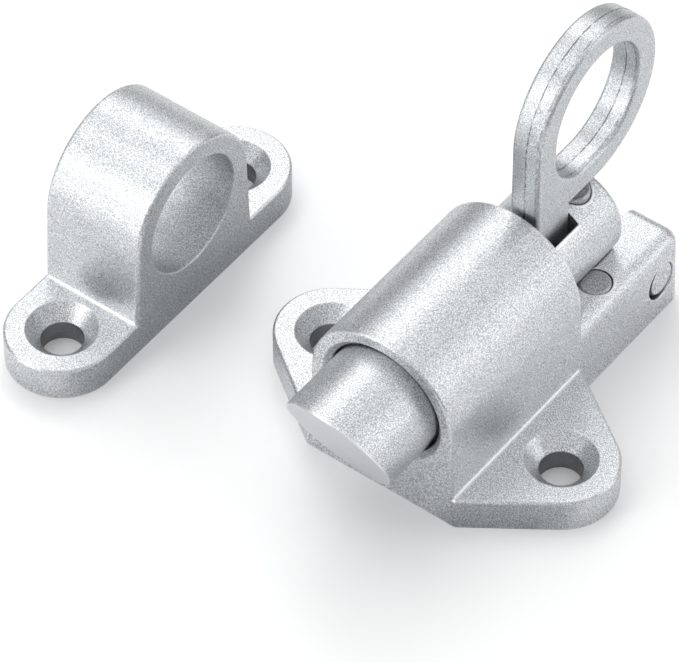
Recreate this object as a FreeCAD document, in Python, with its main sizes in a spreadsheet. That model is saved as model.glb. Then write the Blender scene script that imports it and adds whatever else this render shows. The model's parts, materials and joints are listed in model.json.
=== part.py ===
import FreeCAD, Part
import math
import os

import Sketcher

# Spring loaded gate latch with its keeper, in millimetres, +Z up.
# The latch frame has its origin midway between the latch's two screw holes, on the mounting plane.
# The bolt points along -Y and is drawn back along +Y by the pull ring. X runs across the latch.

Vector = FreeCAD.Vector

# Driving sizes, each with its alias, its value and what it is.
SIZES = [
    ("hole_spacing", 32.0, "centre to centre of the two screw holes, on the latch and on the keeper"),
    ("screw_hole_dia", 5.0, "through hole of a screw"),
    ("sink_dia", 8.5, "countersink across its top"),
    ("sink_angle", 90.0, "countersink, whole angle"),
    ("flange_thick", 4.4, "screw flange of the latch and base of the keeper"),
    ("flange_edge", 0.25, "bevelled top edge of the flange and of the keeper's base"),
    ("edge_slope", 45.0, "slope of that bevel, from upright"),
    ("ear_radius", 6.7, "rounded end round each screw hole"),
    ("axis_height", 14.0, "bolt axis above the mounting plane, the same in the keeper's eye"),
    ("barrel_wall", 2.15, "wall of the barrel round its bore"),
    ("barrel_length", 24.4, "barrel along the bolt"),
    ("barrel_edge", 0.3, "soft front rim of the barrel"),
    ("side_draft", 2.0, "draft of the sides of the barrel and of the block, in degrees"),
    ("corner_out", 0.25, "where the flange's straight edges would meet, outside the barrel's foot"),
    ("corner_round", 0.5, "vertical rounding of the flange's front corners"),
    ("rear_wall", 3.0, "wall at the back of the barrel, which the tail runs through"),
    ("mouth_bevel", 0.7, "bevel at the mouth of the bore"),
    ("block_length", 19.9, "block behind the barrel, along the bolt"),
    ("block_height", 10.4, "block behind the barrel, above the mounting plane"),
    ("block_edge", 1.8, "rounding of the block's top and rear edges"),
    ("nose_dia", 14.3, "bolt's nose across"),
    ("bore_gap", 0.3, "radial gap of the nose in the barrel's bore"),
    ("travel", 11.0, "draw of the bolt"),
    ("tip_left", 0.1, "tip of the nose in front of the barrel when the bolt is drawn"),
    ("bevel_angle", 25.0, "bevel of the nose, from upright"),
    ("bevel_turn", 9.0, "turn of the bevel about the bolt axis"),
    ("crease_angle", 7.0, "start of the flat on each lower side of the nose, below level"),
    ("flat_angle", 28.0, "stretch of the round that each flat cuts off"),
    ("shoulder_inset", 4.2, "from the barrel's front face back to the shoulder that the spring pushes"),
    ("wire_dia", 0.9, "spring wire"),
    ("spring_turns", 6.0, "turns of the spring"),
    ("spring_inner_gap", 0.15, "spring outside the tail"),
    ("spring_outer_gap", 0.2, "spring inside the bore"),
    ("spring_end_gap", 0.1, "each end of the spring to its seat"),
    ("tail_gap", 0.3, "radial gap of the tail in the rear wall"),
    ("tail_beyond", 3.3, "tail behind the rivet's axis"),
    ("tail_edge", 0.7, "rounded rear rim of the tail"),
    ("rib_width", 6.0, "rib under the tail that keeps the bolt from turning"),
    ("rib_gap", 0.3, "gap at each side of the rib, and over the block"),
    ("trough_gap", 0.5, "gap under the rib"),
    ("ring_inner", 8.0, "pull ring, radius of its hole"),
    ("hole_corner", 6.0, "pull ring, lower front corner of its hole"),
    ("ring_band", 3.15, "pull ring, width of its band"),
    ("ring_thick", 4.0, "pull ring and its stem at the parting line"),
    ("ring_draft", 3.0, "draft of the ring's rims on each side of the parting line, in degrees"),
    ("ring_edge", 0.45, "soft edges of the ring"),
    ("ring_lift", 1.35, "ring over the tail"),
    ("ring_offset", 1.15, "ring plate to the +X side of the bolt axis"),
    ("stem_width", 6.2, "stem of the ring along the bolt"),
    ("stem_gap", 0.5, "stem to the barrel's rear face"),
    ("slot_side_gap", 1.05, "slot beside the stem"),
    ("slot_end_gap", 0.25, "slot behind the stem, under it and over its foot"),
    ("slot_floor", 1.8, "floor of the slot below the bolt axis"),
    ("foot_height", 3.2, "foot of the stem, under the tail's roof"),
    ("foot_wall", 0.8, "foot of the stem behind the rivet"),
    ("rivet_back", 3.2, "rivet's axis behind the stem"),
    ("rivet_head_dia", 4.2, "rivet that holds the foot, its head"),
    ("rivet_head_depth", 2.2, "rivet head"),
    ("rivet_shank_dia", 2.2, "rivet shank"),
    ("rivet_bite", 1.0, "rivet shank below the floor of the slot"),
    ("rivet_recess", 0.15, "rivet head below the top of the tail"),
    ("pin_gap", 0.12, "radial gap of a driven pin or a rivet in its hole"),
    ("pin_bevel", 0.2, "bevelled ends of the pins"),
    ("guide_pin_dia", 3.9, "upright pin in the block"),
    ("guide_pin_depth", 6.0, "upright pin in the block"),
    ("guide_pin_land", 1.35, "upright pin from the side of the trough"),
    ("guide_pin_back", 7.2, "upright pin behind the barrel's rear face"),
    ("rest_pin_dia", 4.4, "cross pin under the tail"),
    ("rest_pin_gap", 0.3, "cross pin to the underside of the tail"),
    ("rest_pin_inset", 3.9, "cross pin from the block's rear face"),
    ("rest_pin_recess", 0.1, "ends of the cross pin inside the block's sides"),
    ("rest_hole_gap", 0.22, "radial gap of the cross pin's hole, which isn't quite in line with it"),
    ("rest_hole_ahead", 0.15, "cross pin's hole to the -Y side of the pin"),
    ("rest_hole_low", 0.12, "cross pin's hole below the pin"),
    ("keeper_left", 40.6, "middle of the keeper to the -X side of the latch"),
    ("keeper_front", 2.2, "middle of the keeper to the -Y side of the latch"),
    ("keeper_wall", 2.6, "wall of the keeper round its eye"),
    ("keeper_draft", 3.0, "draft of the keeper's sides, in degrees"),
    ("eye_edge", 0.2, "soft mouths of the keeper's eye"),
    ("keeper_gap", 0.35, "radial gap of the nose in the keeper's eye"),
    ("keeper_edge", 0.5, "soft rims of the keeper's round-topped eye"),
]

doc = FreeCAD.newDocument("gate_latch")
sheet = doc.addObject("Spreadsheet::Sheet", "Sizes")
for row, (alias, value, note) in enumerate(SIZES, start=1):
    sheet.set(f"A{row}", alias)
    sheet.set(f"B{row}", str(value))
    sheet.set(f"C{row}", note)
    sheet.setAlias(f"B{row}", alias)
doc.recompute()

# Places worked out from the driving sizes, as formulas that every sub-part shares.
NOSE_RADIUS = "(Sizes.nose_dia / 2)"
BORE_RADIUS = f"({NOSE_RADIUS} + Sizes.bore_gap)"
TAIL_RADIUS = f"({BORE_RADIUS} - Sizes.spring_outer_gap - Sizes.wire_dia - Sizes.spring_inner_gap)"
TAIL_HOLE_RADIUS = f"({TAIL_RADIUS} + Sizes.tail_gap)"
HALF_BARREL = f"({BORE_RADIUS} + Sizes.barrel_wall)"
DRAFT = "(Sizes.side_draft * 1 deg)"
HALF_FOOT = f"(({HALF_BARREL} + Sizes.axis_height * sin{DRAFT}) / cos{DRAFT})"
HALF_BLOCK_TOP = f"({HALF_FOOT} - Sizes.block_height * tan{DRAFT})"
FRONT = "(-Sizes.barrel_length / 2)"
REAR = "(Sizes.barrel_length / 2)"
WALL_FACE = f"({REAR} - Sizes.rear_wall)"
BLOCK_END = f"({REAR} + Sizes.block_length)"
SHOULDER = f"({FRONT} + Sizes.shoulder_inset)"
NOSE_TIP = f"({FRONT} - Sizes.travel - Sizes.tip_left)"
BEVEL = "(Sizes.bevel_angle * 1 deg)"
STEM_FRONT = f"({REAR} + Sizes.stem_gap)"
STEM_REAR = f"({STEM_FRONT} + Sizes.stem_width)"
RIVET_PLACE = f"({STEM_REAR} + Sizes.rivet_back)"
FOOT_END = f"({RIVET_PLACE} + Sizes.rivet_shank_dia / 2 + Sizes.pin_gap + Sizes.foot_wall)"
SLOT_REAR = f"({STEM_REAR} + Sizes.slot_end_gap)"
SLOT_FRONT = f"({STEM_FRONT} - ({FOOT_END} - {STEM_REAR}) - Sizes.slot_end_gap)"
SLOT_WIDTH = "(Sizes.ring_thick + 2 * Sizes.slot_side_gap)"
TAIL_END = f"({RIVET_PLACE} + Sizes.tail_beyond)"
STEP_FRONT = f"({REAR} - Sizes.travel - Sizes.rib_gap)"
HALF_TROUGH = "(Sizes.rib_width / 2 + Sizes.rib_gap)"
RING_OUTER = "(Sizes.ring_inner + Sizes.ring_band)"
RING_PLACE = f"({STEM_FRONT} + {RING_OUTER})"
RING_LOW = f"(Sizes.axis_height + {TAIL_RADIUS} + Sizes.ring_lift)"
RING_HEIGHT = f"({RING_LOW} + {RING_OUTER})"
STEM_FOOT = "(Sizes.axis_height - Sizes.slot_floor + Sizes.slot_end_gap)"
GUIDE_PIN_ACROSS = f"({HALF_TROUGH} + Sizes.guide_pin_land + Sizes.guide_pin_dia / 2)"
GUIDE_PIN_PLACE = f"({REAR} + Sizes.guide_pin_back)"
REST_PIN_HEIGHT = f"(Sizes.axis_height - {TAIL_RADIUS} - Sizes.rest_pin_gap - Sizes.rest_pin_dia / 2)"
REST_PIN_PLACE = f"({BLOCK_END} - Sizes.rest_pin_inset)"
EYE_RADIUS = f"({NOSE_RADIUS} + Sizes.keeper_gap)"
HALF_EYE = f"({EYE_RADIUS} + Sizes.keeper_wall)"
KEEPER_DRAFT = "(Sizes.keeper_draft * 1 deg)"
KEEPER_FOOT = f"(({HALF_EYE} + Sizes.axis_height * sin{KEEPER_DRAFT}) / cos{KEEPER_DRAFT})"
SPRING_RADIUS = f"({TAIL_RADIUS} + Sizes.spring_inner_gap + Sizes.wire_dia / 2)"
HOLE_PLACES = ("Sizes.hole_spacing / 2", "-Sizes.hole_spacing / 2")


def number(formula):
    """The value of a formula in the sheet's sizes."""
    return float(sheet.evalExpression(formula))


def place(body, across="0", along="0", up="0"):
    """Ties a sub-part's Placement to the sheet."""
    for axis, formula in (("x", across), ("y", along), ("z", up)):
        body.setExpression(f"Placement.Base.{axis}", formula)


def new_body(label):
    body = doc.addObject("PartDesign::Body", label)
    body.Label = label
    return body


def new_sketch(body, name, role, lift=None):
    """A sketch on an origin plane of its body, lifted along the plane's own normal."""
    plane = next(item for item in body.Origin.OriginFeatures if item.Role == role)
    sketch = body.newObject("Sketcher::SketchObject", name)
    sketch.AttachmentSupport = [(plane, "")]
    sketch.MapMode = "FlatFace"
    if lift is not None:
        sketch.setExpression("AttachmentOffset.Base.z", lift)
    return sketch


def tie(sketch, kind, *items):
    """Adds a constraint whose last item is a formula."""
    formula = items[-1]
    index = sketch.addConstraint(Sketcher.Constraint(kind, *items[:-1], number(formula)))
    sketch.setExpression(f"Constraints[{index}]", formula)


def fix(sketch, shape, point, across, up):
    """Holds one point of a shape at a place given by two formulas."""
    tie(sketch, "DistanceX", -1, 1, shape, point, across)
    tie(sketch, "DistanceY", -1, 1, shape, point, up)


def join(sketch, kind, first, second):
    """Joins the end of one shape to the start of the next."""
    sketch.addConstraint(Sketcher.Constraint(kind, first, 2, second, 1))


def polygon(sketch, corners):
    """A closed outline of straight lines through corners given as formulas."""
    spots = [Vector(number(across), number(up), 0) for across, up in corners]
    lines = []
    for start, end in zip(spots, spots[1:] + spots[:1]):
        lines.append(sketch.addGeometry(Part.LineSegment(start, end), False))
    for line, following, corner in zip(lines, lines[1:] + lines[:1], corners):
        fix(sketch, line, 1, *corner)
        join(sketch, "Coincident", line, following)
    return lines


def rectangle(sketch, left, right, low, high):
    return polygon(sketch, [(left, low), (right, low), (right, high), (left, high)])


def circle(sketch, across, up, radius):
    centre = Vector(number(across), number(up), 0)
    ring = sketch.addGeometry(Part.Circle(centre, Vector(0, 0, 1), number(radius)), False)
    fix(sketch, ring, 3, across, up)
    tie(sketch, "Radius", ring, radius)
    return ring


def arch(sketch, crown_radius, height, half_foot):
    """A round-topped outline: a straight foot and two drafted sides that run into the crown."""
    radius = number(crown_radius)
    top = number(height)
    foot_x = number(half_foot)
    lean = math.acos(radius / math.hypot(foot_x, top)) - math.atan2(top, foot_x)
    touch = Vector(radius * math.cos(lean), top + radius * math.sin(lean), 0)
    foot = sketch.addGeometry(Part.LineSegment(Vector(-foot_x, 0, 0), Vector(foot_x, 0, 0)), False)
    right = sketch.addGeometry(Part.LineSegment(Vector(foot_x, 0, 0), touch), False)
    crown_circle = Part.Circle(Vector(0, top, 0), Vector(0, 0, 1), radius)
    crown = sketch.addGeometry(Part.ArcOfCircle(crown_circle, lean, math.pi - lean), False)
    left = sketch.addGeometry(Part.LineSegment(Vector(-touch.x, touch.y, 0), Vector(-foot_x, 0, 0)), False)
    fix(sketch, foot, 1, f"-{half_foot}", "0")
    fix(sketch, foot, 2, half_foot, "0")
    fix(sketch, crown, 3, "0", height)
    tie(sketch, "Radius", crown, crown_radius)
    join(sketch, "Coincident", foot, right)
    join(sketch, "Tangent", right, crown)
    join(sketch, "Tangent", crown, left)
    join(sketch, "Coincident", left, foot)


def feature(body, kind, name, sketch, length=None, **settings):
    """A feature of a body made from a sketch, with its length tied to the sheet."""
    made = body.newObject(f"PartDesign::{kind}", name)
    made.Profile = sketch
    for key, value in settings.items():
        setattr(made, key, value)
    if length is not None:
        made.setExpression("Length", length)
    doc.recompute()
    return made


def turned(body, kind, name, sketch, axis="H_Axis"):
    """A full turn of a sketch about one of its own axes, added or cut away."""
    made = body.newObject(f"PartDesign::{kind}", name)
    made.Profile = sketch
    made.ReferenceAxis = (sketch, [axis])
    made.Angle = 360
    doc.recompute()
    return made


def edges(base, wanted):
    """Names of the edges of a feature whose middle point and box meet a test."""
    found = []
    for index, edge in enumerate(base.Shape.Edges, start=1):
        middle = edge.valueAt((edge.FirstParameter + edge.LastParameter) / 2)
        if wanted(edge, middle):
            found.append(f"Edge{index}")
    return found


def soften(body, name, base, radius, wanted):
    """Rounds the chosen edges of a feature."""
    made = body.newObject("PartDesign::Fillet", name)
    made.Base = (base, edges(base, wanted))
    made.setExpression("Radius", radius)
    doc.recompute()
    return made


def screw_holes(body, places):
    """Countersunk through holes for the two screws, drilled from the flange's top face."""
    sketch = new_sketch(body, "screw_hole_places", "XY_Plane", "Sizes.flange_thick")
    for across in places:
        circle(sketch, across, "0", "Sizes.screw_hole_dia / 2")
    doc.recompute()
    hole = body.newObject("PartDesign::Hole", "screw_holes")
    hole.Profile = sketch
    hole.Threaded = False
    hole.DepthType = "ThroughAll"
    hole.HoleCutType = "Countersink"
    hole.HoleCutCustomValues = True
    hole.setExpression("Diameter", "Sizes.screw_hole_dia")
    hole.setExpression("HoleCutDiameter", "Sizes.sink_dia")
    hole.setExpression("HoleCutCountersinkAngle", "Sizes.sink_angle")
    doc.recompute()
    return hole


def near(value, target):
    return abs(value - target) < 0.01


def flange_outline(sketch):
    """The flange: a flat front edge, rounded front corners, straight sides and two ears."""
    ear_x = number("Sizes.hole_spacing / 2")
    ear = number("Sizes.ear_radius")
    corner_x = number(f"{HALF_FOOT} + Sizes.corner_out")
    front = number(FRONT)
    rear = number(REAR)
    bend = number("Sizes.corner_round")
    side_x = number(HALF_FOOT)
    reach = math.hypot(ear_x - corner_x, front)
    slope = math.atan2(-front, ear_x - corner_x) - math.asin(ear / reach)
    back = math.pi / 2 - slope
    inset = bend * math.tan(slope / 2)
    centre = Vector(corner_x - inset, front + bend, 0)
    up = Vector(0, 0, 1)
    shapes = {}
    for side, sign in (("right", 1), ("left", -1)):
        out = Vector(sign * math.sin(slope), -math.cos(slope), 0)
        round_centre = Vector(sign * centre.x, centre.y, 0)
        ear_centre = Vector(sign * ear_x, 0, 0)
        low = ear_centre + out * ear
        high = Vector(low.x, -low.y, 0)
        if sign > 0:
            bend_arc = Part.ArcOfCircle(Part.Circle(round_centre, up, bend), -math.pi / 2, -back)
            ear_arc = Part.ArcOfCircle(Part.Circle(ear_centre, up, ear), -back, back)
        else:
            bend_arc = Part.ArcOfCircle(Part.Circle(round_centre, up, bend), math.pi + back, 1.5 * math.pi)
            ear_arc = Part.ArcOfCircle(Part.Circle(ear_centre, up, ear), math.pi - back, math.pi + back)
        front_line = Part.LineSegment(round_centre + out * bend, low)
        rear_line = Part.LineSegment(high, Vector(sign * side_x, rear, 0))
        if sign < 0:
            front_line = Part.LineSegment(low, round_centre + out * bend)
            rear_line = Part.LineSegment(Vector(sign * side_x, rear, 0), high)
        shapes[side] = [sketch.addGeometry(item, False) for item in (bend_arc, front_line, ear_arc, rear_line)]
        corner = sketch.addGeometry(Part.Point(Vector(sign * corner_x, front, 0)), True)
        sketch.addConstraint(Sketcher.Constraint("PointOnObject", corner, 1, shapes[side][1]))
        fix(sketch, corner, 1, f"{sign} * ({HALF_FOOT} + Sizes.corner_out)", FRONT)
    start = Vector(-centre.x, front, 0)
    front_edge = sketch.addGeometry(Part.LineSegment(start, Vector(centre.x, front, 0)), False)
    rear_start = Vector(side_x, rear, 0)
    rear_edge = sketch.addGeometry(Part.LineSegment(rear_start, Vector(-side_x, rear, 0)), False)
    right_bend, right_front, right_ear, right_rear = shapes["right"]
    left_bend, left_front, left_ear, left_rear = shapes["left"]
    smooth = [front_edge, right_bend, right_front, right_ear, right_rear]
    for first, second in zip(smooth, smooth[1:]):
        join(sketch, "Tangent", first, second)
    smooth = [left_rear, left_ear, left_front, left_bend, front_edge]
    for first, second in zip(smooth, smooth[1:]):
        join(sketch, "Tangent", first, second)
    join(sketch, "Coincident", right_rear, rear_edge)
    join(sketch, "Coincident", rear_edge, left_rear)
    fix(sketch, rear_edge, 1, HALF_FOOT, REAR)
    fix(sketch, rear_edge, 2, f"-{HALF_FOOT}", REAR)
    tie(sketch, "DistanceY", -1, 1, front_edge, 1, FRONT)
    for bend_id, ear_id, across in ((right_bend, right_ear, HOLE_PLACES[0]), (left_bend, left_ear, HOLE_PLACES[1])):
        tie(sketch, "Radius", bend_id, "Sizes.corner_round")
        tie(sketch, "Radius", ear_id, "Sizes.ear_radius")
        fix(sketch, ear_id, 3, across, "0")
    sketch.addConstraint(Sketcher.Constraint("Horizontal", front_edge))


def base_outline(sketch):
    """The keeper's base: two straight sides between two round ends."""
    end = number(HOLE_PLACES[0])
    side = number("Sizes.ear_radius")
    up = Vector(0, 0, 1)
    front = sketch.addGeometry(Part.LineSegment(Vector(-end, -side, 0), Vector(end, -side, 0)), False)
    right_circle = Part.Circle(Vector(end, 0, 0), up, side)
    right = sketch.addGeometry(Part.ArcOfCircle(right_circle, -math.pi / 2, math.pi / 2), False)
    back = sketch.addGeometry(Part.LineSegment(Vector(end, side, 0), Vector(-end, side, 0)), False)
    left_circle = Part.Circle(Vector(-end, 0, 0), up, side)
    left = sketch.addGeometry(Part.ArcOfCircle(left_circle, math.pi / 2, 1.5 * math.pi), False)
    for first, second in ((front, right), (right, back), (back, left), (left, front)):
        join(sketch, "Tangent", first, second)
    fix(sketch, right, 3, HOLE_PLACES[0], "0")
    fix(sketch, left, 3, HOLE_PLACES[1], "0")
    tie(sketch, "Radius", right, "Sizes.ear_radius")


def bevelled_plate(body, name, outline):
    """A plate on the mounting plane with its top edge bevelled, from an outline that a function draws."""
    shoulder = "Sizes.flange_thick - Sizes.flange_edge"
    sketch = new_sketch(body, f"{name}_outline", "XY_Plane")
    outline(sketch)
    feature(body, "Pad", name, sketch, shoulder)
    sketch = new_sketch(body, f"{name}_edge_outline", "XY_Plane", shoulder)
    outline(sketch)
    edge = feature(body, "Pad", f"{name}_edge", sketch, "Sizes.flange_edge")
    edge.setExpression("TaperAngle", "-Sizes.edge_slope")
    doc.recompute()


def make_housing():
    """The latch's casting: screw flange, round-topped barrel and the block with its trough."""
    body = new_body("housing")
    sketch = new_sketch(body, "barrel_outline", "XZ_Plane")
    arch(sketch, HALF_BARREL, "Sizes.axis_height", HALF_FOOT)
    barrel = feature(body, "Pad", "barrel", sketch, "Sizes.barrel_length", Midplane=True)
    front = number(FRONT)
    soften(body, "barrel_front_rim", barrel, "Sizes.barrel_edge",
           lambda edge, middle: near(middle.y, front) and middle.z > 0.01)
    bevelled_plate(body, "flange", flange_outline)

    sketch = new_sketch(body, "block_outline", "XZ_Plane", f"-{REAR}")
    polygon(sketch, [
        (f"-{HALF_FOOT}", "0"),
        (HALF_FOOT, "0"),
        (HALF_BLOCK_TOP, "Sizes.block_height"),
        (f"-{HALF_BLOCK_TOP}", "Sizes.block_height"),
    ])
    block = feature(body, "Pad", "block", sketch, "Sizes.block_length", Reversed=True)
    top = number("Sizes.block_height")
    end = number(BLOCK_END)
    rear = number(REAR)
    soften(body, "block_edges", block, "Sizes.block_edge",
           lambda edge, middle: (near(middle.z, top) and middle.y > rear + 0.1)
           or (near(middle.y, end) and 0.01 < middle.z < top))

    sketch = new_sketch(body, "bore_section", "YZ_Plane")
    sketch.setExpression("AttachmentOffset.Base.y", "Sizes.axis_height")
    polygon(sketch, [
        (FRONT, "0"),
        (f"{REAR} + 1", "0"),
        (f"{REAR} + 1", TAIL_HOLE_RADIUS),
        (WALL_FACE, TAIL_HOLE_RADIUS),
        (WALL_FACE, BORE_RADIUS),
        (f"{FRONT} + Sizes.mouth_bevel", BORE_RADIUS),
        (FRONT, f"{BORE_RADIUS} + Sizes.mouth_bevel"),
    ])
    turned(body, "Groove", "bore", sketch)

    sketch = new_sketch(body, "trough_outline", "XZ_Plane", f"-{REAR}")
    floor = f"Sizes.axis_height - {TAIL_RADIUS} - Sizes.trough_gap"
    rectangle(sketch, f"-{HALF_TROUGH}", HALF_TROUGH, floor, "Sizes.axis_height")
    feature(body, "Pocket", "trough", sketch, "Sizes.block_length + 1")

    sketch = new_sketch(body, "guide_pin_hole_outline", "XY_Plane", "Sizes.block_height")
    circle(sketch, GUIDE_PIN_ACROSS, GUIDE_PIN_PLACE, "Sizes.guide_pin_dia / 2 + Sizes.pin_gap")
    feature(body, "Pocket", "guide_pin_hole", sketch, "Sizes.guide_pin_depth")

    sketch = new_sketch(body, "rest_pin_hole_outline", "YZ_Plane")
    ahead = f"{REST_PIN_PLACE} - Sizes.rest_hole_ahead"
    low = f"{REST_PIN_HEIGHT} - Sizes.rest_hole_low"
    circle(sketch, ahead, low, "Sizes.rest_pin_dia / 2 + Sizes.rest_hole_gap")
    feature(body, "Pocket", "rest_pin_hole", sketch, f"2 * {HALF_FOOT} + 2", Midplane=True)

    screw_holes(body, HOLE_PLACES)
    return body


def cut_nose(body):
    """The nose: a flat on each lower side, and the bevel across its front."""
    sketch = new_sketch(body, "nose_flat_outline", "XZ_Plane", f"-{SHOULDER}")
    first = "(Sizes.crease_angle * 1 deg)"
    last = "((Sizes.crease_angle + Sizes.flat_angle) * 1 deg)"
    between = "((Sizes.crease_angle + Sizes.flat_angle / 2) * 1 deg)"
    corner = f"({NOSE_RADIUS} / cos(Sizes.flat_angle / 2 * 1 deg))"
    for sign in ("", "-"):
        polygon(sketch, [
            (f"{sign}{NOSE_RADIUS} * cos{first}", f"-{NOSE_RADIUS} * sin{first}"),
            (f"{sign}{corner} * cos{between}", f"-{corner} * sin{between}"),
            (f"{sign}{NOSE_RADIUS} * cos{last}", f"-{NOSE_RADIUS} * sin{last}"),
        ])
    feature(body, "Pocket", "nose_flats", sketch, f"{SHOULDER} - {NOSE_TIP} + 2", Reversed=True)

    sketch = new_sketch(body, "bevel_outline", "YZ_Plane")
    sketch.AttachmentOffset = FreeCAD.Placement(Vector(), FreeCAD.Rotation(Vector(1, 0, 0), 1))
    sketch.setExpression("AttachmentOffset.Rotation.Angle", "Sizes.bevel_turn")
    polygon(sketch, [
        (f"{NOSE_TIP} - tan({BEVEL})", f"{NOSE_RADIUS} + 1"),
        (f"{NOSE_TIP} + (Sizes.nose_dia + 1) * tan({BEVEL})", f"-{NOSE_RADIUS} - 1"),
        (f"{NOSE_TIP} - 3", f"-{NOSE_RADIUS} - 1"),
        (f"{NOSE_TIP} - 3", f"{NOSE_RADIUS} + 1"),
    ])
    feature(body, "Pocket", "bevel", sketch, "Sizes.nose_dia + 2", Midplane=True)


def cut_tail(body):
    """The tail: a rib left under it, the slot for the stem, the tunnel for its foot and the rivet's hole."""
    sketch = new_sketch(body, "rib_outline", "XZ_Plane", f"-{STEP_FRONT}")
    step = "Sizes.block_height + Sizes.rib_gap - Sizes.axis_height"
    for sign in ("", "-"):
        rectangle(sketch, f"{sign}Sizes.rib_width / 2", f"{sign}({TAIL_RADIUS} + 1)", f"-{TAIL_RADIUS} - 1", step)
    feature(body, "Pocket", "rib_sides", sketch, f"{TAIL_END} - {STEP_FRONT} + 1")

    left = f"Sizes.ring_offset - {SLOT_WIDTH} / 2"
    right = f"Sizes.ring_offset + {SLOT_WIDTH} / 2"
    sketch = new_sketch(body, "slot_outline", "XY_Plane", f"{TAIL_RADIUS} + 1")
    rectangle(sketch, left, right, SLOT_FRONT, SLOT_REAR)
    feature(body, "Pocket", "slot", sketch, f"{TAIL_RADIUS} + 1 + Sizes.slot_floor")

    sketch = new_sketch(body, "tunnel_outline", "XZ_Plane", f"-{STEM_REAR}")
    roof = "-Sizes.slot_floor + Sizes.foot_height + 2 * Sizes.slot_end_gap"
    rectangle(sketch, left, right, "-Sizes.slot_floor", roof)
    feature(body, "Pocket", "tunnel", sketch, f"{TAIL_END} - {STEM_REAR} + 1")

    top = f"{TAIL_RADIUS} + 1"
    for name, radius, depth in (
        ("rivet_head_hole", "Sizes.rivet_head_dia / 2", "1 + Sizes.rivet_recess + Sizes.rivet_head_depth"),
        ("rivet_shank_hole", "Sizes.rivet_shank_dia / 2", f"{top} + Sizes.slot_floor + Sizes.rivet_bite"),
    ):
        sketch = new_sketch(body, f"{name}_outline", "XY_Plane", top)
        circle(sketch, "Sizes.ring_offset", RIVET_PLACE, f"{radius} + Sizes.pin_gap")
        feature(body, "Pocket", name, sketch, depth)


def make_bolt():
    """The bolt, turned and then cut, on its own axis and lifted to the axis height."""
    body = new_body("bolt")
    place(body, up="Sizes.axis_height")
    sketch = new_sketch(body, "bolt_section", "YZ_Plane")
    polygon(sketch, [
        (f"{NOSE_TIP} - 1", "0"),
        (TAIL_END, "0"),
        (TAIL_END, TAIL_RADIUS),
        (SHOULDER, TAIL_RADIUS),
        (SHOULDER, NOSE_RADIUS),
        (f"{NOSE_TIP} - 1", NOSE_RADIUS),
    ])
    blank = turned(body, "Revolution", "bolt_blank", sketch)
    tail_end = number(TAIL_END)
    soften(body, "tail_rim", blank, "Sizes.tail_edge",
           lambda edge, middle: near(middle.y, tail_end) and math.hypot(middle.x, middle.z) > 0.1)
    cut_nose(body)
    cut_tail(body)
    return body


def ring_hole(sketch):
    """The ring's hole: round, with its lower front corner less round than the rest."""
    up = Vector(0, 0, 1)
    centre = Vector(number(RING_PLACE), number(RING_HEIGHT), 0)
    radius = number("Sizes.ring_inner")
    small = number("Sizes.hole_corner")
    corner_centre = centre - Vector(radius - small, radius - small, 0)
    front = centre.x - radius
    low = centre.y - radius
    wide = sketch.addGeometry(Part.ArcOfCircle(Part.Circle(centre, up, radius), -math.pi / 2, math.pi), False)
    upright_line = Part.LineSegment(Vector(front, centre.y, 0), Vector(front, corner_centre.y, 0))
    upright = sketch.addGeometry(upright_line, False)
    corner_circle = Part.Circle(corner_centre, up, small)
    corner = sketch.addGeometry(Part.ArcOfCircle(corner_circle, math.pi, 1.5 * math.pi), False)
    level_line = Part.LineSegment(Vector(corner_centre.x, low, 0), Vector(centre.x, low, 0))
    level = sketch.addGeometry(level_line, False)
    for first, second in ((wide, upright), (upright, corner), (corner, level), (level, wide)):
        join(sketch, "Tangent", first, second)
    fix(sketch, wide, 3, RING_PLACE, RING_HEIGHT)
    tie(sketch, "Radius", wide, "Sizes.ring_inner")
    tie(sketch, "Radius", corner, "Sizes.hole_corner")
    sketch.addConstraint(Sketcher.Constraint("Vertical", upright))
    sketch.addConstraint(Sketcher.Constraint("Horizontal", level))


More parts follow.
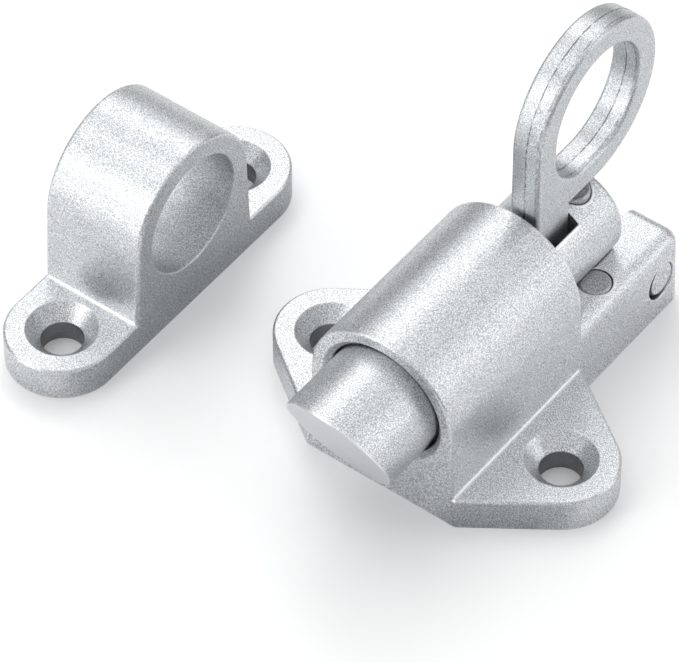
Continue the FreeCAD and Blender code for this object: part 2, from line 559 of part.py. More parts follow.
def make_pull_ring():
    """The ring and its stem, one flat casting drafted both ways from its parting line."""
    body = new_body("pull_ring")
    place(body, across="Sizes.ring_offset")
    sketch = new_sketch(body, "ring_outline", "YZ_Plane")
    centre = Vector(number(RING_PLACE), number(RING_HEIGHT), 0)
    round_outline = Part.Circle(centre, Vector(0, 0, 1), number(RING_OUTER))
    band = sketch.addGeometry(Part.ArcOfCircle(round_outline, -math.pi / 2, math.pi), False)
    foot_top = f"{STEM_FOOT} + Sizes.foot_height"
    corners = [
        (STEM_FRONT, RING_HEIGHT),
        (STEM_FRONT, STEM_FOOT),
        (FOOT_END, STEM_FOOT),
        (FOOT_END, foot_top),
        (STEM_REAR, foot_top),
        (STEM_REAR, RING_LOW),
        (RING_PLACE, RING_LOW),
    ]
    spots = [Vector(number(across), number(up), 0) for across, up in corners]
    lines = []
    for start, end in zip(spots, spots[1:]):
        lines.append(sketch.addGeometry(Part.LineSegment(start, end), False))
    for line, corner in zip(lines, corners):
        fix(sketch, line, 1, *corner)
    for first, second in zip(lines, lines[1:]):
        join(sketch, "Coincident", first, second)
    join(sketch, "Coincident", band, lines[0])
    join(sketch, "Tangent", lines[-1], band)
    fix(sketch, band, 3, RING_PLACE, RING_HEIGHT)
    ring_hole(sketch)
    plate = body.newObject("PartDesign::Pad", "ring_plate")
    plate.Profile = sketch
    plate.SideType = "Two sides"
    for length in ("Length", "Length2"):
        plate.setExpression(length, "Sizes.ring_thick / 2")
    for angle in ("TaperAngle", "TaperAngle2"):
        plate.setExpression(angle, "-Sizes.ring_draft")
    doc.recompute()
    side = number("Sizes.ring_thick / 2")
    above = number(foot_top)
    soften(body, "ring_edges", plate, "Sizes.ring_edge",
           lambda edge, middle: near(abs(middle.x), side) and middle.z > above + 0.1)

    sketch = new_sketch(body, "foot_hole_outline", "XY_Plane", f"{foot_top} + 0.1")
    circle(sketch, "0", RIVET_PLACE, "Sizes.rivet_shank_dia / 2 + Sizes.pin_gap")
    feature(body, "Pocket", "foot_hole", sketch, "Sizes.foot_height + 0.2")
    return body


def make_rivet():
    """The rivet whose head shows in the top of the tail."""
    body = new_body("ring_rivet")
    place(body, "Sizes.ring_offset", RIVET_PLACE, "Sizes.axis_height")
    sketch = new_sketch(body, "rivet_section", "XZ_Plane")
    head_top = f"{TAIL_RADIUS} - Sizes.rivet_recess"
    head_seat = f"{head_top} - Sizes.rivet_head_depth"
    polygon(sketch, [
        ("0", "-Sizes.slot_floor - Sizes.rivet_bite"),
        ("Sizes.rivet_shank_dia / 2", "-Sizes.slot_floor - Sizes.rivet_bite"),
        ("Sizes.rivet_shank_dia / 2", head_seat),
        ("Sizes.rivet_head_dia / 2", head_seat),
        ("Sizes.rivet_head_dia / 2", f"{head_top} - Sizes.pin_bevel"),
        ("Sizes.rivet_head_dia / 2 - Sizes.pin_bevel", head_top),
        ("0", head_top),
    ])
    turned(body, "Revolution", "rivet", sketch, "V_Axis")
    return body


def make_pin(label, diameter, length):
    """A plain pin with bevelled ends, upright on its own origin."""
    body = new_body(label)
    sketch = new_sketch(body, f"{label}_section", "XZ_Plane")
    polygon(sketch, [
        ("0", "0"),
        (f"{diameter} / 2 - Sizes.pin_bevel", "0"),
        (f"{diameter} / 2", "Sizes.pin_bevel"),
        (f"{diameter} / 2", f"{length} - Sizes.pin_bevel"),
        (f"{diameter} / 2 - Sizes.pin_bevel", length),
        ("0", length),
    ])
    turned(body, "Revolution", f"{label}_round", sketch, "V_Axis")
    return body


def make_spring():
    """The compression spring between the bolt's shoulder and the barrel's rear wall."""
    body = new_body("spring")
    body.Placement = FreeCAD.Placement(Vector(), FreeCAD.Rotation(Vector(1, 0, 0), -90))
    place(body, along=f"{SHOULDER} + Sizes.spring_end_gap + Sizes.wire_dia / 2", up="Sizes.axis_height")
    sketch = new_sketch(body, "wire_section", "XZ_Plane")
    circle(sketch, SPRING_RADIUS, "0", "Sizes.wire_dia / 2")
    coil = body.newObject("PartDesign::AdditiveHelix", "coil")
    coil.Profile = sketch
    coil.ReferenceAxis = (sketch, ["V_Axis"])
    coil.Mode = "height-turns-angle"
    coil.setExpression("Height", f"{WALL_FACE} - {SHOULDER} - 2 * Sizes.spring_end_gap - Sizes.wire_dia")
    coil.setExpression("Turns", "Sizes.spring_turns")
    doc.recompute()
    return body


def make_keeper():
    """The keeper's casting: a base with two screw holes and a round-topped eye for the nose."""
    body = new_body("keeper")
    body.Placement = FreeCAD.Placement(Vector(), FreeCAD.Rotation(Vector(0, 0, 1), 90))
    place(body, "-Sizes.keeper_left", "-Sizes.keeper_front")
    sketch = new_sketch(body, "eye_outline", "XZ_Plane")
    arch(sketch, HALF_EYE, "Sizes.axis_height", KEEPER_FOOT)
    eye = feature(body, "Pad", "eye_block", sketch, "2 * Sizes.ear_radius", Midplane=True)
    side = number("Sizes.ear_radius")
    soften(body, "eye_rims", eye, "Sizes.keeper_edge",
           lambda edge, middle: near(abs(middle.y), side) and middle.z > 0.01)
    bevelled_plate(body, "base", base_outline)

    sketch = new_sketch(body, "eye_bore_outline", "XZ_Plane")
    circle(sketch, "0", "Sizes.axis_height", EYE_RADIUS)
    bore = feature(body, "Pocket", "eye_bore", sketch, "2 * Sizes.ear_radius + 2", Midplane=True)
    axis = number("Sizes.axis_height")
    eye_radius = number(EYE_RADIUS)
    soften(body, "eye_mouths", bore, "Sizes.eye_edge",
           lambda edge, middle: near(abs(middle.y), side) and near(math.hypot(middle.x, middle.z - axis), eye_radius))
    screw_holes(body, HOLE_PLACES)
    return body


guide_pin = make_pin("guide_pin", "Sizes.guide_pin_dia", "Sizes.guide_pin_depth")
place(guide_pin, GUIDE_PIN_ACROSS, GUIDE_PIN_PLACE, "Sizes.block_height - Sizes.guide_pin_depth")
rest_pin_half = f"({HALF_FOOT} - {REST_PIN_HEIGHT} * tan{DRAFT} - Sizes.rest_pin_recess)"
rest_pin = make_pin("rest_pin", "Sizes.rest_pin_dia", f"2 * {rest_pin_half}")
rest_pin.Placement = FreeCAD.Placement(Vector(), FreeCAD.Rotation(Vector(0, 1, 0), 90))
place(rest_pin, f"-{rest_pin_half}", REST_PIN_PLACE, REST_PIN_HEIGHT)

sub_parts = [
    make_housing(),
    make_bolt(),
    make_pull_ring(),
    make_rivet(),
    guide_pin,
    rest_pin,
    make_spring(),
    make_keeper(),
]
doc.recompute()

for item in doc.Objects:
    if "Invalid" in item.State or "Error" in item.State:
        raise RuntimeError(f"{item.Label} could not be made")
for body in sub_parts:
    if body.Shape.isNull() or not body.Shape.isValid():
        raise RuntimeError(f"{body.Label} has no valid shape")
    print(body.Label, round(body.Shape.Volume, 1), len(body.Shape.Solids), body.Shape.BoundBox)

os.makedirs("parts", exist_ok=True)
for body in sub_parts:
    body.Shape.exportStep(f"parts/{body.Label}.step")
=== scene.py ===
# %% [markdown]
# A spring loaded gate latch and its keeper. The latch is a cast housing with a bevelled round bolt in
# it, which a pull ring draws back against a spring. The keeper is a second casting with an eye that the
# bolt shoots into. The shapes come from the CAD frame and stay as they are. This lesson gives them their
# finishes, makes the hidden spring again as a coil of wire, and sets up a plain studio with the camera
# where the photographer stood.

# %% Load the frame
import json
import math

import bmesh
import bpy
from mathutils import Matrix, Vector


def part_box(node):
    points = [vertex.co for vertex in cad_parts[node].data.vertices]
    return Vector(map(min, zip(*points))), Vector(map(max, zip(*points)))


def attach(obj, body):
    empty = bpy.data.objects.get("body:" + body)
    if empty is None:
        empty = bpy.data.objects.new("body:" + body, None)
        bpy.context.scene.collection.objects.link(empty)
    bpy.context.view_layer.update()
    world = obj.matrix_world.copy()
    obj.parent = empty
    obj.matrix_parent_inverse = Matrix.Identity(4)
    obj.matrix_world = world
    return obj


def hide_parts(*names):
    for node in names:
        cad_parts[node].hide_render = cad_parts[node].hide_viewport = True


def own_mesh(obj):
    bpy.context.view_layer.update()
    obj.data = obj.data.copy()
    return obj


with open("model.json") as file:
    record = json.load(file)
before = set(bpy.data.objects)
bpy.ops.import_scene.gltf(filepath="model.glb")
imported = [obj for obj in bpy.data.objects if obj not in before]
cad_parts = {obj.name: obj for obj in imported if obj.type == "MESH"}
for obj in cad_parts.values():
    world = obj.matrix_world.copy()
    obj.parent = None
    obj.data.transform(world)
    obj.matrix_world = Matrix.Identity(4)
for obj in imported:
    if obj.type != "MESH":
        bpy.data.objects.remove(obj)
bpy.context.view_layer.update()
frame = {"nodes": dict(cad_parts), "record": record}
nodes = frame["nodes"]
MM = 0.001
print("nodes:", sorted(nodes))

# %% [markdown]
# The camera looks down on the latch from its front right corner, through a long lens, so lines that
# run away from it hardly draw together. Its place was found by matching the holes, rims and edges of
# the part to the picture. It is written here as a viewing direction, a distance and a point on the
# floor that it aims at, because those three numbers are easy to picture and to change.

# %% Camera
FRAME_WIDTH = 679
SENSOR_WIDTH = 36.0
AZIMUTH = math.radians(37.0)
ELEVATION = math.radians(47.75)
DISTANCE = 653.1 * MM
FOCAL_PIXELS = 5709.9
AIM = Vector((-17.6, 3.6, 0)) * MM
CLIP_START = 0.01
CLIP_END = 20

towards_camera = Vector((
    math.sin(AZIMUTH) * math.cos(ELEVATION),
    -math.cos(AZIMUTH) * math.cos(ELEVATION),
    math.sin(ELEVATION),
))


def aim_along(thing, direction):
    """Turns a camera or a lamp so that it looks along a direction, with +Z up in its view."""
    thing.rotation_euler = direction.to_track_quat("-Z", "Y").to_euler()


camera_data = bpy.data.cameras.new("camera")
camera_data.sensor_width = SENSOR_WIDTH
camera_data.lens = FOCAL_PIXELS / FRAME_WIDTH * SENSOR_WIDTH
camera_data.clip_start = CLIP_START
camera_data.clip_end = CLIP_END
camera = bpy.data.objects.new("camera", camera_data)
camera.location = AIM + towards_camera * DISTANCE
aim_along(camera, -towards_camera)
bpy.context.scene.collection.objects.link(camera)
bpy.context.scene.camera = camera
bpy.context.scene.view_settings.view_transform = "Standard"
print("lens:", round(camera_data.lens, 1), "mm")

# %% [markdown]
# Node trees are easier to read when each node is made in one line. The first helper adds a node, sets
# its plain settings and fills its inputs: a number or a colour is written into the socket, and another
# node's output is linked to it. The others make the few kinds of nodes that are needed most often.

# %% Node helpers
def add_node(tree, kind, inputs=(), **settings):
    """A shader node with its settings made and its inputs filled or linked."""
    made = tree.nodes.new(kind)
    for key, value in settings.items():
        setattr(made, key, value)
    for socket, value in dict(inputs).items():
        if isinstance(value, bpy.types.NodeSocket):
            tree.links.new(value, made.inputs[socket])
        else:
            made.inputs[socket].default_value = value
    return made


def empty_material(name):
    """A new material and its node tree, with no nodes in it yet."""
    made = bpy.data.materials.new(name)
    made.use_nodes = True
    made.node_tree.nodes.clear()
    return made, made.node_tree


def scale_value(tree, value, factor, offset=0.0):
    """value times factor plus offset."""
    return add_node(
        tree, "ShaderNodeMath", {0: value, 1: factor, 2: offset}, operation="MULTIPLY_ADD"
    ).outputs[0]


def away_from(tree, value, middle):
    """How far value is from middle, to either side."""
    apart = add_node(tree, "ShaderNodeMath", {0: value, 1: middle}, operation="SUBTRACT").outputs[0]
    return add_node(tree, "ShaderNodeMath", {0: apart}, operation="ABSOLUTE").outputs[0]


def ramp(tree, value, start, end, low=0.0, high=1.0, curve="LINEAR"):
    """low up to where value passes start, high from where it reaches end, and a slope between them."""
    return add_node(
        tree, "ShaderNodeMapRange",
        {"Value": value, "From Min": start, "From Max": end, "To Min": low, "To Max": high},
        interpolation_type=curve,
    ).outputs[0]


def mix_colours(tree, share, first, second):
    """first where share is 0 and second where it is 1."""
    mixed = add_node(
        tree, "ShaderNodeMix", {0: share, 6: first, 7: second}, data_type="RGBA"
    )
    return mixed.outputs[2]


NODE_HELPERS = (add_node, empty_material, scale_value, away_from, ramp, mix_colours)
print("node helpers:", [helper.__name__ for helper in NODE_HELPERS])

# %% [markdown]
# The floor is a sheet of white paper that fills the picture. The camera sees it a little lighter than
# the other rays do, so that the open paper comes out white, while the castings still throw their shadows
# on it. Upright faces mirror the paper just in front of them. In the picture the keeper's right side and
# the flange's right front side are much darker than the other sides. Darker paint on the metal would
# show from every side, so two soft dark strips of painted shade lie on the paper instead, which only
# metal sees: they paint a dark reflection into those two sides.

# %% Floor
FLOOR_HALF = 1.5
PAPER_COLOUR = (0.80, 0.80, 0.80, 1)
PAPER_SEEN = (0.885, 0.885, 0.885, 1)
CAMERA_GLOW = 0.04
# painted shade: dark paper that only the metal mirrors, seen as a dark reflection on the keeper's right
# side and the flange's right front side
REFLECTED_SHADE_COLOUR = (0.46, 0.47, 0.48, 1)
STRIP_SOFT = 4 * MM
REFLECTED_SHADE_STRIPS = {
    # name: (middle x, middle y, half width, half length)
    "beside_keeper": (-28 * MM, 2 * MM, 4.5 * MM, 26 * MM),
    "before_flange": (18 * MM, -12.5 * MM, 8 * MM, 4.5 * MM),
}


def within(tree, value, middle, half):
    """1 within half of a middle place and 0 beyond its soft edge."""
    away = away_from(tree, value, middle)
    return ramp(tree, away, half + STRIP_SOFT, half, curve="SMOOTHSTEP")


def reflected_shade_mask(tree):
    """1 on the paper's strips of painted shade."""
    place = add_node(tree, "ShaderNodeTexCoord").outputs["Object"]
    split = add_node(tree, "ShaderNodeSeparateXYZ", {0: place})
    total = 0
    for middle_x, middle_y, half_width, half_length in REFLECTED_SHADE_STRIPS.values():
        across = within(tree, split.outputs["X"], middle_x, half_width)
        along = within(tree, split.outputs["Y"], middle_y, half_length)
        total = scale_value(tree, across, along, total)
    return total


def floor_paint():
    """White paper with strips of painted shade that only glossy rays see."""
    paint, tree = empty_material("floor_paper")
    path = add_node(tree, "ShaderNodeLightPath")
    seen = path.outputs["Is Camera Ray"]
    dark = scale_value(tree, reflected_shade_mask(tree), path.outputs["Is Glossy Ray"])
    paper = mix_colours(tree, dark, PAPER_COLOUR, REFLECTED_SHADE_COLOUR)
    matt = add_node(tree, "ShaderNodeBsdfDiffuse", {"Color": mix_colours(tree, seen, paper, PAPER_SEEN)})
    glow = add_node(tree, "ShaderNodeEmission", {"Strength": scale_value(tree, seen, CAMERA_GLOW)})
    both = add_node(tree, "ShaderNodeAddShader", {0: matt.outputs[0], 1: glow.outputs[0]})
    add_node(tree, "ShaderNodeOutputMaterial", {"Surface": both.outputs[0]})
    return paint


def make_floor():
    """The sheet that the latch lies on."""
    sheet = bmesh.new()
    bmesh.ops.create_grid(sheet, x_segments=1, y_segments=1, size=FLOOR_HALF)
    mesh = bpy.data.meshes.new("floor")
    sheet.to_mesh(mesh)
    sheet.free()
    mesh.materials.append(floor_paint())
    made = bpy.data.objects.new("floor", mesh)
    bpy.context.scene.collection.objects.link(made)
    return made


floor = make_floor()
print("floor:", floor.dimensions[:2])

# %% [markdown]
# Blasted metal mirrors the studio as broad soft bands, so every band on the part tells where a lamp
# stood. A curved top shows this best: going round the barrel, its normal sweeps the sky from left to
# right, and the white band on the crown, the grey one beside it and the paler one near the right side
# give one panel each. The mirror panels below stand where those bands point. The shadow lamps are for
# the paper: they give it its light and the soft shadows towards the lower right, and metal doesn't
# mirror them. Their places and levels were worked out from the picture by rendering each one alone,
# because light adds up.

# %% Lamps
LAMP_DISTANCE = 0.9
LAMPS = {
    # name: (direction from the part, width, height, brightness)
    "crown_panel": ((-0.405, 0.537, 0.740), 0.40, 0.40, 1.66),
    "crown_side_panel": ((0.165, 0.537, 0.828), 0.40, 0.40, 0.38),
    "right_panel": ((0.72, 0.537, 0.45), 0.45, 0.45, 0.84),
    "right_low_panel": ((0.80, 0.537, 0.15), 0.40, 0.25, 1.46),
    "front_panel": ((-0.405, -0.740, 0.537), 0.40, 0.40, 2.51),
    "front_low_panel": ((-0.405, -0.909, 0.12), 0.45, 0.22, 2.50),
    "top_panel": ((-0.405, -0.15, 0.90), 0.40, 0.40, 1.33),
    "back_low_panel": ((-0.405, 0.86, 0.33), 0.40, 0.30, 0.27),
    "shadow_lamp_behind": ((-0.405, 0.537, 0.740), 0.45, 0.45, 1.82),
    "shadow_lamp_left": ((-0.62, 0.45, 0.62), 0.45, 0.45, 1.33),
    "shadow_lamp_wide": ((-0.35, 0.40, 0.84), 1.0, 1.0, 0.67),
}


def hang_lamp(name, direction, width, height, brightness):
    """A flat panel that faces the part. Its power follows its area, so brightness is what is seen."""
    data = bpy.data.lights.new(name, "AREA")
    data.shape = "RECTANGLE"
    data.size = width
    data.size_y = height
    data.energy = brightness * math.pi * width * height
    made = bpy.data.objects.new(name, data)
    made.location = AIM + Vector(direction).normalized() * LAMP_DISTANCE
    aim_along(made, -Vector(direction))
    made.visible_glossy = not name.startswith("shadow")
    bpy.context.scene.collection.objects.link(made)
    return made


lamps = [hang_lamp(name, *settings) for name, settings in LAMPS.items()]
print("lamps:", [lamp.name for lamp in lamps])

# %% [markdown]
# The room fills what the panels leave open, and the metal mirrors it everywhere between them. A room
# of one grey would flatten the castings, so it is dark at the horizon and pale overhead. The camera
# sees it white, as it does the paper.

# %% Room
ROOM_TOP = (0.755, 0.76, 0.765, 1)
ROOM_HORIZON = (0.0, 0.0, 0.0, 1)
ROOM_SEEN = (1, 1, 1, 1)
ROOM_TOP_HEIGHT = 0.6


def paint_room():
    """The world: a rise from the horizon to the top, and one plain white for the camera."""
    room = bpy.data.worlds.new("studio_room")
    bpy.context.scene.world = room
    room.use_nodes = True
    tree = room.node_tree
    tree.nodes.clear()
    direction = add_node(tree, "ShaderNodeTexCoord").outputs["Generated"]
    height = add_node(tree, "ShaderNodeSeparateXYZ", {0: direction}).outputs["Z"]
    grey = mix_colours(tree, ramp(tree, height, 0.0, ROOM_TOP_HEIGHT), ROOM_HORIZON, ROOM_TOP)
    path = add_node(tree, "ShaderNodeLightPath")
    seen = mix_colours(tree, path.outputs["Is Camera Ray"], grey, ROOM_SEEN)
    light = add_node(tree, "ShaderNodeBackground", {"Color": seen})
    add_node(tree, "ShaderNodeOutputWorld", {"Surface": light.outputs[0]})
    return room


print("room:", paint_room().name)

# %% [markdown]
# Handling polishes the outer edges of a casting, and a rounded edge catches the light, so the outer rims
# are painted lighter: partly wear and partly a painted highlight. Its inner corners have a small fillet,
# which catches the light as a thin bright line, painted here as a highlight. Narrow gaps get painted
# shade. All three could be painted one by one, but they follow from the shape, so short rays find them.
# Rays that are sent into the metal come out again at once near an outer edge. Of those that are sent
# outwards, about half meet metal again in an inner corner, and most of them do in a gap.

# %% Worn rims, painted highlights and painted shade
RIM_REACH = 0.35 * MM
CORNER_REACH = 1.5 * RIM_REACH
RIM_RAYS = 4
CORNER_RAYS = 6
# shares of free rays where each mask starts and where it is full
RIM_LIMITS = (0.92, 0.5)
CORNER_LIMITS = (0.92, 0.72)
GAP_LIMITS = (0.45, 0.20)
# lighter colour for the rims, partly wear and partly painted highlight, and a painted highlight in inner
# corners
WEAR_AND_HIGHLIGHT_COLOUR = (0.96, 0.965, 0.97, 1)
# painted shade, in gaps and on the screw holes' walls
PAINTED_SHADE_COLOUR = (0.20, 0.21, 0.22, 1)
RIM_WEAR_AND_HIGHLIGHT_SHARE = 0.8
CORNER_HIGHLIGHT_SHARE = 0.9
GAP_SHADE_SHARE = 0.8


def free_rays(tree, reach, rays, inside=False):
    """The share of short rays from a point that meet nothing of its own piece."""
    return add_node(
        tree, "ShaderNodeAmbientOcclusion", {"Distance": reach},
        samples=rays, inside=inside, only_local=True,
    ).outputs["AO"]


def edge_masks(tree):
    """1 along outer rims, 1 along open inner corners, and 1 in gaps that are deeper than a corner."""
    inwards = free_rays(tree, RIM_REACH, RIM_RAYS, inside=True)
    outwards = free_rays(tree, CORNER_REACH, CORNER_RAYS)
    rims = ramp(tree, inwards, *RIM_LIMITS)
    corners = ramp(tree, outwards, *CORNER_LIMITS)
    gaps = ramp(tree, outwards, *GAP_LIMITS)
    return rims, corners, gaps


def worn_and_painted_light(tree, skin, rims, corners, gaps):
    """A skin with painted highlights in inner corners, painted shade in gaps, and over both lighter
    outer rims that are partly wear and partly painted highlight.
    """
    corner_highlighted = mix_colours(tree, scale_value(tree, corners, CORNER_HIGHLIGHT_SHARE), skin, WEAR_AND_HIGHLIGHT_COLOUR)
    gap_shaded = mix_colours(tree, scale_value(tree, gaps, GAP_SHADE_SHARE), corner_highlighted, PAINTED_SHADE_COLOUR)
    return mix_colours(tree, scale_value(tree, rims, RIM_WEAR_AND_HIGHLIGHT_SHARE), gap_shaded, WEAR_AND_HIGHLIGHT_COLOUR)


print("rays reach", round(RIM_REACH / MM, 3), "mm in and", round(CORNER_REACH / MM, 3), "mm out")

# %% [markdown]
# The straight walls of the screw holes, under the bright countersinks, get painted shade. The walls
# could get a material of their own, but a CAD node's mesh stays as it is, so a mask finds them: whatever
# lies in a circle round a hole's middle and below the countersink.
# It reads the piece's own coordinates, as all the marks here do, so a mark stays put on a piece that
# moves.

# %% Painted shade in the screw holes
MASK_SOFT = 0.04 * MM
FROM_ABOVE = (1, 1, 0)
# a little wider than the 5 mm holes, so that their walls lie inside
HOLE_RADIUS = 2.6 * MM
HOLE_WALL_TOP = 2.65 * MM
# how much painted shade the holes' walls take
HOLE_SHADE_SHARE = 0.85
SCREW_HOLES = [
    Vector(middle) * MM for middle in ((-16, 0, 0), (16, 0, 0), (-40.6, -18.2, 0), (-40.6, 13.8, 0))
]


def inside_circle(tree, place, plane, middle, radius):
    """1 inside a circle round a point, seen along the axis that the plane leaves out."""
    flat = add_node(tree, "ShaderNodeVectorMath", {0: place, 1: plane}, operation="MULTIPLY").outputs[0]
    away = add_node(
        tree, "ShaderNodeVectorMath", {0: flat, 1: middle}, operation="DISTANCE"
    ).outputs["Value"]
    return ramp(tree, away, radius + MASK_SOFT, radius - MASK_SOFT)


def painted_hole_shade(tree, place, colour):
    """A colour with painted shade on the straight walls of the screw holes."""
    height = add_node(tree, "ShaderNodeSeparateXYZ", {0: place}).outputs["Z"]
    below = ramp(tree, height, HOLE_WALL_TOP + MASK_SOFT, HOLE_WALL_TOP - MASK_SOFT)
    holes = 0
    for middle in SCREW_HOLES:
        holes = scale_value(tree, inside_circle(tree, place, FROM_ABOVE, middle, HOLE_RADIUS), 1, holes)
    shaded_walls = scale_value(tree, scale_value(tree, holes, below), HOLE_SHADE_SHARE)
    return mix_colours(tree, shaded_walls, colour, PAINTED_SHADE_COLOUR)


print("screw holes:", [tuple(round(value / MM, 1) for value in middle) for middle in SCREW_HOLES])

# %% [markdown]
# The ring was cast in two mould halves. The seam where they met runs round its rims as a thin ragged
# line. Beside it runs a fainter dark line of painted shade, where the ring's rounded edge meets its flat
# side. Each lies in a plane across the ring, so it is drawn wherever a point is close to that plane. A
# noise moves the line a little to and fro and lets it fade here and there, because blasting wears a real
# seam unevenly.

# %% Mould seam and a line of painted shade
SEAM_AND_SHADE_COLOUR = (0.10, 0.11, 0.12, 1)
RING_SEAM_AND_SHADE_LINES = (
    # strength, place across the ring, half width, least strength along it
    (0.90, 1.15 * MM, 0.075 * MM, 0.35),
    # a fainter line of painted shade, where the rounded edge meets the flat side
    (0.50, 2.55 * MM, 0.110 * MM, 0.20),
)
# size, detail and roughness of the noise, and its values where a line is faintest and full
SEAM_NOISE = (0.9 * MM, 2.0, 0.5)
SEAM_FADE = (0.42, 0.55)
# where a line ends and where it is full, in half widths from its middle
SEAM_END = 1.6
SEAM_FULL = 0.5


def noise(tree, place, size, detail, roughness):
    """Random values round 0.5 in blobs of about this size, with finer ones added by detail."""
    return add_node(
        tree, "ShaderNodeTexNoise",
        {"Vector": place, "Scale": 1 / size, "Detail": detail, "Roughness": roughness},
    ).outputs[0]


def ring_line_mask(tree, place, across, half, least):
    """1 on a thin ragged line round a piece, in one plane across it, fading here and there to least."""
    wander = noise(tree, place, *SEAM_NOISE)
    x = add_node(tree, "ShaderNodeSeparateXYZ", {0: place}).outputs["X"]
    away = away_from(tree, scale_value(tree, wander, -2 * half, x), across - half)
    line = ramp(tree, away, SEAM_END * half, SEAM_FULL * half)
    return scale_value(tree, line, ramp(tree, wander, *SEAM_FADE, low=least))


def seam_and_painted_shade(tree, place, colour):
    """A colour with the ring's mould seam and a line of painted shade drawn into it."""
    for strength, *ring_line in RING_SEAM_AND_SHADE_LINES:
        line = scale_value(tree, ring_line_mask(tree, place, *ring_line), strength)
        colour = mix_colours(tree, line, colour, SEAM_AND_SHADE_COLOUR)
    return colour


print("seams:", [round(ring_line[1] / MM, 2) for ring_line in RING_SEAM_AND_SHADE_LINES], "mm across the ring")

# %% [markdown]
# The cross pin's ends were blasted together with the block, so they are as bright as it is. The picture
# shows a dark gap beside them, on the side of the nose. A bright disc whose middle lies a little behind
# the pin's own leaves a thin crescent of painted shadow there. The pin's round side shows only down in
# its hole, so it gets painted shade too. The ends are told from the round side by the way that they
# face.

# %% Cross pin's ends, with painted shade
FROM_THE_SIDE = (0, 1, 1)
PIN_LIT_MIDDLE = Vector((0, 28.43, 5.36)) * MM
PIN_LIT_RADIUS = 2.12 * MM
# the direction that a face looks in, and the least cosine to it
PIN_ENDS = ((1, 0, 0), 0.3)
FACING_SOFT = 0.004
# painted shade, on the crescent beside the disc and on the pin's round side
PIN_SIDE_PAINTED_SHADE = (0.10, 0.105, 0.11, 1)


def facing_mask(tree, direction, least, both_ways=False):
    """1 on faces that look along a direction in the piece's own frame, or also against it."""
    normal = add_node(tree, "ShaderNodeTexCoord").outputs["Normal"]
    along = add_node(
        tree, "ShaderNodeVectorMath", {0: normal, 1: direction}, operation="DOT_PRODUCT"
    ).outputs["Value"]
    if both_ways:
        along = add_node(tree, "ShaderNodeMath", {0: along}, operation="ABSOLUTE").outputs[0]
    return ramp(tree, along, least, least + FACING_SOFT)


def pin_ends_and_painted_shade(tree, place, colour):
    """A colour that shows on a disc of the pin's two ends, with painted shade on the rest of the pin."""
    ends = facing_mask(tree, *PIN_ENDS, both_ways=True)
    disc = inside_circle(tree, place, FROM_THE_SIDE, PIN_LIT_MIDDLE, PIN_LIT_RADIUS)
    return mix_colours(tree, scale_value(tree, ends, disc), PIN_SIDE_PAINTED_SHADE, colour)


print("bright disc on the pin's ends:", round(2 * PIN_LIT_RADIUS / MM, 2), "mm across")

# %% [markdown]
# Blasting with fine beads leaves a satin skin of tiny dents. Up close it is a sharp speckle of lighter
# and darker points about a fifth of a millimetre across, over slow changes of tone. The speckle drives
# the colour and a shallow bump, because in real metal one dent does both, and the roughness follows the
# slower tones. A Bevel node bends the normals near each edge, so that it catches the light as a rounded
# one does. All finishes are this one skin with other greys and at most one mark, so a function makes it.

# %% Metal skin
GRAIN = 0.125 * MM
# size, detail and roughness of each noise
FINE_NOISE = (GRAIN, 1.0, 0.6)
SOFT_NOISE = (9 * GRAIN, 3.0, 0.5)
BROAD_NOISE = (60 * GRAIN, 1.0, 0.5)
# the noise's middle value, and the tone of a smooth face
MID_TONE = 0.5
SOFT_TONE = 0.10
BROAD_TONE = 0.08
# how much of its speckle and dents a smooth face has lost
SMOOTH_LOSS = 0.9
EDGE_RADIUS = 0.28 * MM
EDGE_RAYS = 4
ROUGHNESS_SPREAD = 0.12
RIM_POLISH = 0.12
CORNER_POLISH = 0.10
BUMP_STRENGTH = 0.6


def metal(name, dark, light, roughness, depth=0.003 * MM, swing=0.15, smooth_face=None, mark=None):
    """A metal skin between two greys, with worn edges, painted highlights and painted shade, and, if it
    has them, a smooth face and a mark.

    depth is how deep its dents are. The noise goes from the dark grey to the light one within swing
    round its middle value, so a small swing gives sharp points and a large one soft clouds.
    """
    paint, tree = empty_material(name)
    place = add_node(tree, "ShaderNodeTexCoord").outputs["Object"]
    fine = noise(tree, place, *FINE_NOISE)
    soft = noise(tree, place, *SOFT_NOISE)
    broad = noise(tree, place, *BROAD_NOISE)
    points = ramp(tree, fine, MID_TONE - swing / 2, MID_TONE + swing / 2)
    if smooth_face is not None:
        grainy = scale_value(tree, facing_mask(tree, *smooth_face), -SMOOTH_LOSS, 1.0)
        points = add_node(
            tree, "ShaderNodeMix", {0: grainy, 2: MID_TONE, 3: points}, data_type="FLOAT"
        ).outputs[0]
        depth = scale_value(tree, grainy, depth)
    slow = scale_value(tree, broad, BROAD_TONE, -(SOFT_TONE + BROAD_TONE) / 2)
    tone = scale_value(tree, soft, SOFT_TONE, slow)
    skin = mix_colours(tree, scale_value(tree, points, 1.0, tone), dark, light)
    rounded = add_node(tree, "ShaderNodeBevel", {"Radius": EDGE_RADIUS}, samples=EDGE_RAYS).outputs[0]
    rims, corners, gaps = edge_masks(tree)
    # painted highlights on rims and inner corners, and painted shade in gaps
    colour = worn_and_painted_light(tree, skin, rims, corners, gaps)
    if mark is not None:
        colour = mark(tree, place, colour)
    matt = scale_value(tree, soft, ROUGHNESS_SPREAD, roughness - ROUGHNESS_SPREAD / 2)
    polish = scale_value(tree, corners, -CORNER_POLISH, scale_value(tree, rims, -RIM_POLISH, matt))
    bump = add_node(
        tree, "ShaderNodeBump",
        {"Strength": BUMP_STRENGTH, "Distance": depth, "Height": fine, "Normal": rounded},
    ).outputs[0]
    shader = add_node(
        tree, "ShaderNodeBsdfPrincipled",
        {"Base Color": colour, "Metallic": 1.0, "Roughness": polish, "Normal": bump},
    )
    add_node(tree, "ShaderNodeOutputMaterial", {"Surface": shader.outputs[0]})
    return paint


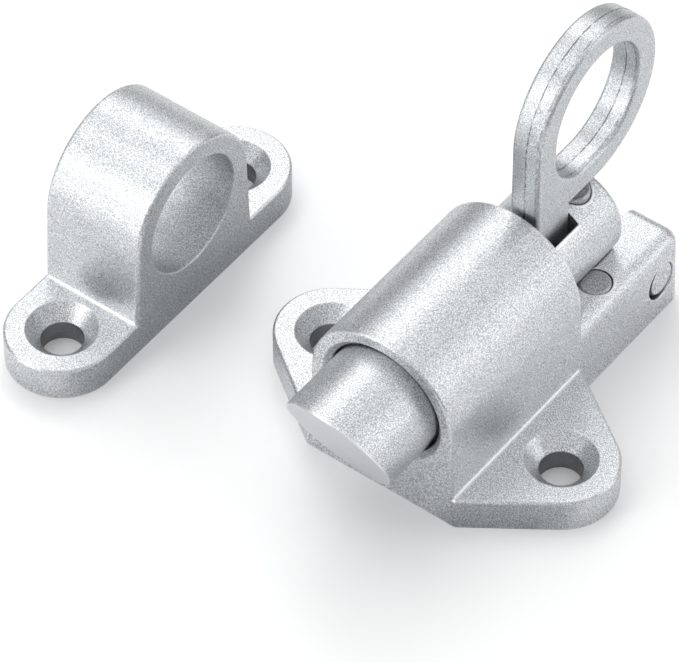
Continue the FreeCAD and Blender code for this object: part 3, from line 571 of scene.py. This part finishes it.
print("noise sizes in mm:", [round(size / MM, 3) for size, *_ in (FINE_NOISE, SOFT_NOISE, BROAD_NOISE)])

# %% [markdown]
# There is one finish for each material slot of the record. The castings and the bolt share their greys,
# and the ring is a little darker. The bolt's bevel is smooth, as it rubs along the keeper. The two
# upright pins are dull grey steel, rough enough to mirror no lamp, and the cross pin has the block's
# greys in a finish of its own. The spring is drawn wire, smoother than the rest.

# %% Finishes
CAST_DARK = (0.42, 0.44, 0.455, 1)
CAST_LIGHT = (0.93, 0.945, 0.96, 1)
CAST_ROUGHNESS = 0.42
BEVEL_FACE = ((0, -0.906, -0.423), 0.985)
RING_DARK = (0.40, 0.42, 0.435, 1)
RING_LIGHT = (0.80, 0.815, 0.83, 1)
RING_ROUGHNESS = 0.38
PIN_DARK = (0.26, 0.27, 0.28, 1)
PIN_LIGHT = (0.68, 0.69, 0.70, 1)
PIN_ROUGHNESS = 0.60
WIRE_DARK = (0.36, 0.36, 0.37, 1)
WIRE_LIGHT = (0.58, 0.58, 0.59, 1)
WIRE_ROUGHNESS = 0.30

FINISHES = {
    "casting": metal("blasted_casting", CAST_DARK, CAST_LIGHT, CAST_ROUGHNESS, mark=painted_hole_shade),
    "bolt_casting": metal(
        "blasted_bolt", CAST_DARK, CAST_LIGHT, CAST_ROUGHNESS, smooth_face=BEVEL_FACE
    ),
    "ring_casting": metal("blasted_ring", RING_DARK, RING_LIGHT, RING_ROUGHNESS, mark=seam_and_painted_shade),
    "pin_steel": metal("dull_pin", PIN_DARK, PIN_LIGHT, PIN_ROUGHNESS),
    "spring_steel": metal(
        "drawn_wire", WIRE_DARK, WIRE_LIGHT, WIRE_ROUGHNESS, depth=0.002 * MM, swing=0.5
    ),
}
NODE_FINISHES = {
    "rest_pin": metal("blasted_pin_ends", CAST_DARK, CAST_LIGHT, CAST_ROUGHNESS, mark=pin_ends_and_painted_shade),
}
print("finishes:", list(FINISHES), list(NODE_FINISHES))

# %% [markdown]
# Each CAD node keeps its mesh and takes the finish of its own material slot from the record. Only the
# cross pin takes the finish that was made for it.

# %% Dress the CAD nodes
for part in frame["record"]["subparts"]:
    node = nodes[part["node"]]
    finish = NODE_FINISHES.get(part["node"], FINISHES[part["material_slot"]])
    node.data.materials.clear()
    node.data.materials.append(finish)
    print(part["node"], "wears", finish.name)

# %% [markdown]
# The spring pushes the bolt out. It shortens when the ring is pulled, which a stiff copy of the CAD coil
# can't do, so a wire is wound here instead. The wire's round section is turned about the bolt's axis and
# moved along it a little at each step, as on a winding lathe.

# %% Spring
WIRE = 0.9 * MM
WIRE_SIDES = 12
SPRING_TURNS = 6
STEPS_A_TURN = 48
BOLT_AXIS_HEIGHT = 14.0 * MM
spring_low, spring_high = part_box("spring")
spring_mean = (spring_high.x - spring_low.x) / 2 - WIRE / 2
spring_run = spring_high.y - spring_low.y - WIRE


def wind_spring():
    """The wire's section, wound from the collar to the rear wall and closed at both ends."""
    coil = bmesh.new()
    section = bmesh.ops.create_circle(coil, cap_ends=False, segments=WIRE_SIDES, radius=WIRE / 2)
    start = Vector((spring_mean, spring_low.y + WIRE / 2, BOLT_AXIS_HEIGHT))
    bmesh.ops.translate(coil, verts=section["verts"], vec=start)
    bmesh.ops.spin(
        coil, geom=coil.edges[:], cent=(0, 0, BOLT_AXIS_HEIGHT), axis=(0, 1, 0),
        dvec=(0, spring_run / (SPRING_TURNS * STEPS_A_TURN), 0),
        angle=2 * math.pi * SPRING_TURNS, steps=SPRING_TURNS * STEPS_A_TURN,
    )
    rims = [edge for edge in coil.edges if edge.is_boundary]
    bmesh.ops.holes_fill(coil, edges=rims, sides=0)
    bmesh.ops.recalc_face_normals(coil, faces=coil.faces[:])
    mesh = bpy.data.meshes.new("spring_coil")
    coil.to_mesh(mesh)
    coil.free()
    mesh.materials.append(FINISHES["spring_steel"])
    for face in mesh.polygons:
        face.use_smooth = True
    made = bpy.data.objects.new("spring_coil", mesh)
    bpy.context.scene.collection.objects.link(made)
    return made


spring_coil = wind_spring()
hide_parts("spring")
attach(spring_coil, "base")
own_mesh(spring_coil)
print("spring faces:", len(spring_coil.data.polygons))
